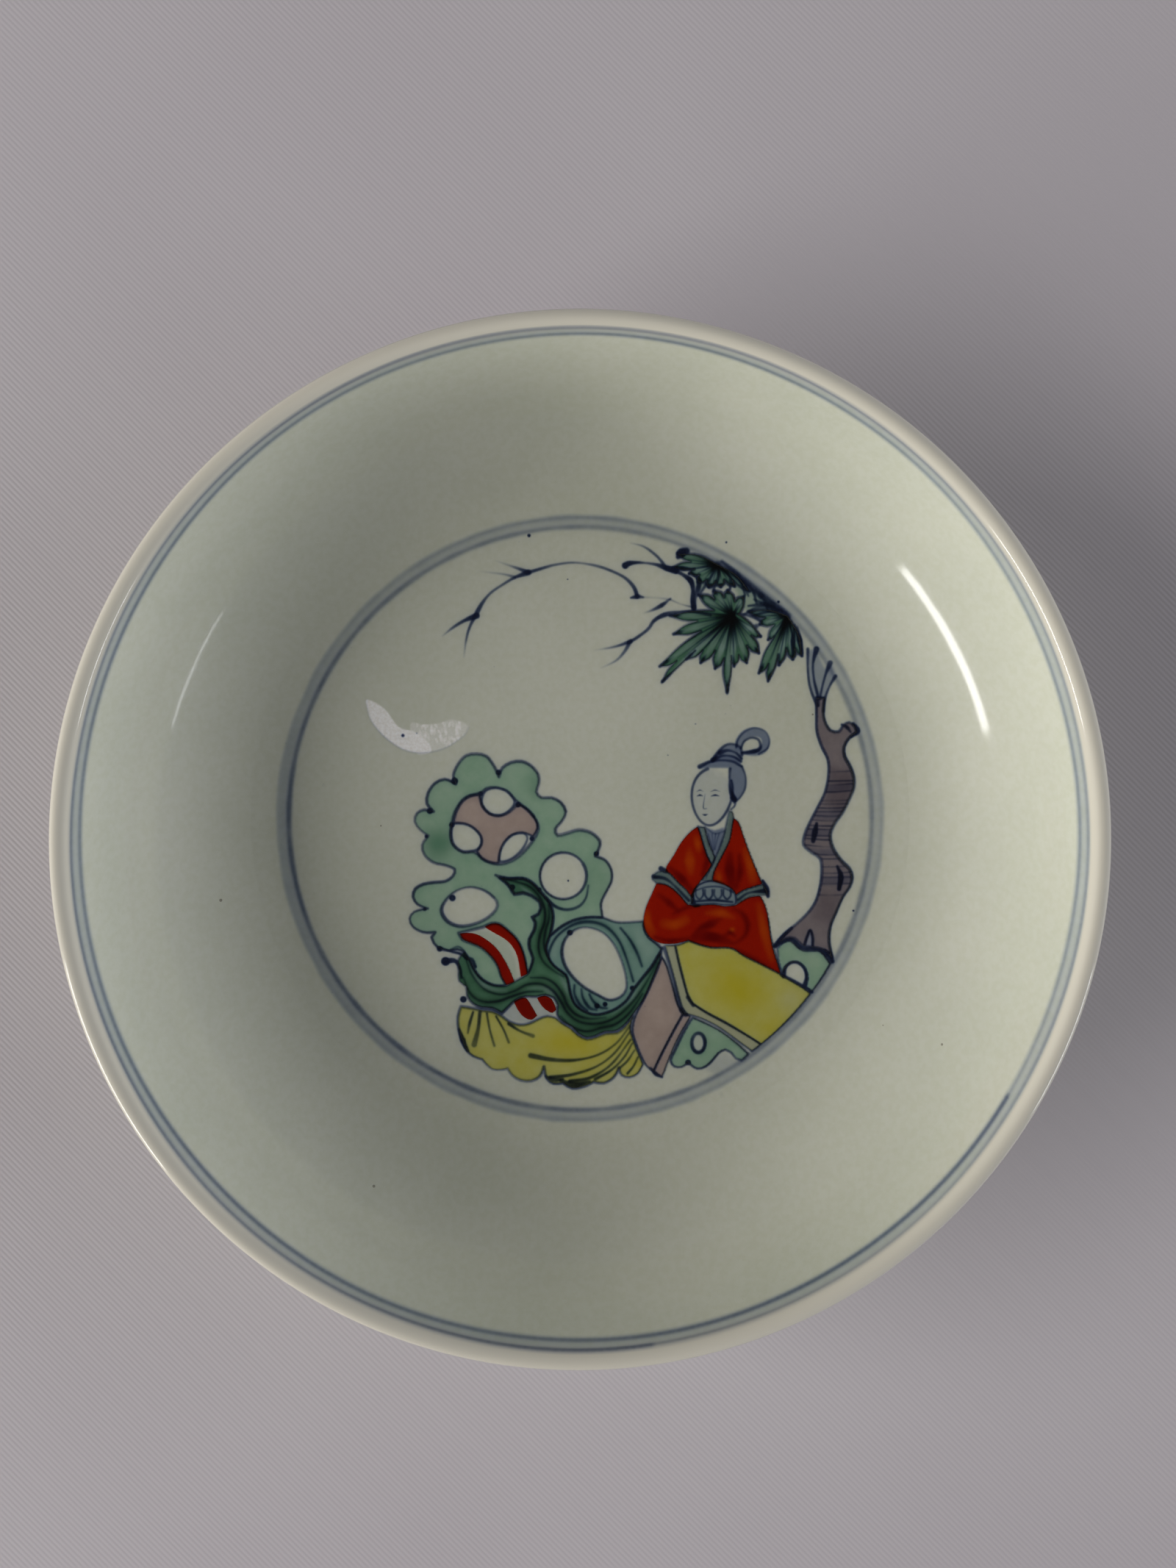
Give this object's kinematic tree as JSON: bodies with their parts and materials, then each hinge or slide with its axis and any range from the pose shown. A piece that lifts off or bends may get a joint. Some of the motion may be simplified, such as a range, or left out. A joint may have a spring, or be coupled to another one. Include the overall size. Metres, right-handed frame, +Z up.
{
  "type": "porcelain dish",
  "caption": "Round porcelain saucer dish on a foot ring, its flat well painted in blue line and raised coloured enamels with a garden rock and a seated figure.",
  "frame": {"origin": "middle of the foot ring's resting face, on the dish's axis", "axes": "+Z up along the dish's axis; +Y towards the top of the painting, +X to its right"},
  "size_m": [0.1615, 0.1614, 0.036],
  "materials": {
    "dish_glaze": "grey-green white porcelain glaze, glossy, pooled slightly thicker in the well; underglaze blue line painting; cream lip; bare foot ring",
    "enamel_pale_green": "translucent pale green enamel with brush shading, satin gloss",
    "enamel_dark_green": "dark green enamel over dark ink strokes, satin gloss",
    "enamel_turquoise": "thin turquoise green enamel with streaks, satin gloss",
    "enamel_grey_green": "dull grey green enamel, satin gloss",
    "enamel_aubergine": "thin aubergine brown enamel, satin gloss",
    "enamel_yellow": "translucent yellow enamel, deeper where it lies thick, satin gloss",
    "enamel_red": "iron red enamel in brushed washes, darker in the folds, semi-matt"
  },
  "bodies": {
    "root": {"dish_body": "dish_glaze", "rock_pale_green": "enamel_pale_green", "rock_core_aubergine": "enamel_aubergine", "rock_ridge_dark_green": "enamel_dark_green", "rock_fold_turquoise": "enamel_turquoise", "rock_base_yellow": "enamel_yellow", "rock_band_long_upper": "enamel_red", "rock_band_long_lower": "enamel_red", "rock_band_short_left": "enamel_red", "rock_band_short_right": "enamel_red", "robe_shoulder_left": "enamel_red", "robe_shoulder_right": "enamel_red", "robe_sleeves": "enamel_red", "robe_collar_left": "enamel_grey_green", "robe_collar_right": "enamel_grey_green", "robe_cuff_left": "enamel_grey_green", "robe_cuff_right": "enamel_grey_green", "table_top_yellow": "enamel_yellow", "table_edge_yellow": "enamel_yellow", "table_side_aubergine": "enamel_aubergine", "table_leg_aubergine": "enamel_aubergine", "ground_pale_green": "enamel_pale_green", "tree_foot_pale_green": "enamel_pale_green", "tree_trunk_aubergine": "enamel_aubergine", "leaves_middle_green": "enamel_dark_green", "leaves_upper_green": "enamel_dark_green", "leaves_right_green": "enamel_dark_green"}
  },
  "joints": []
}
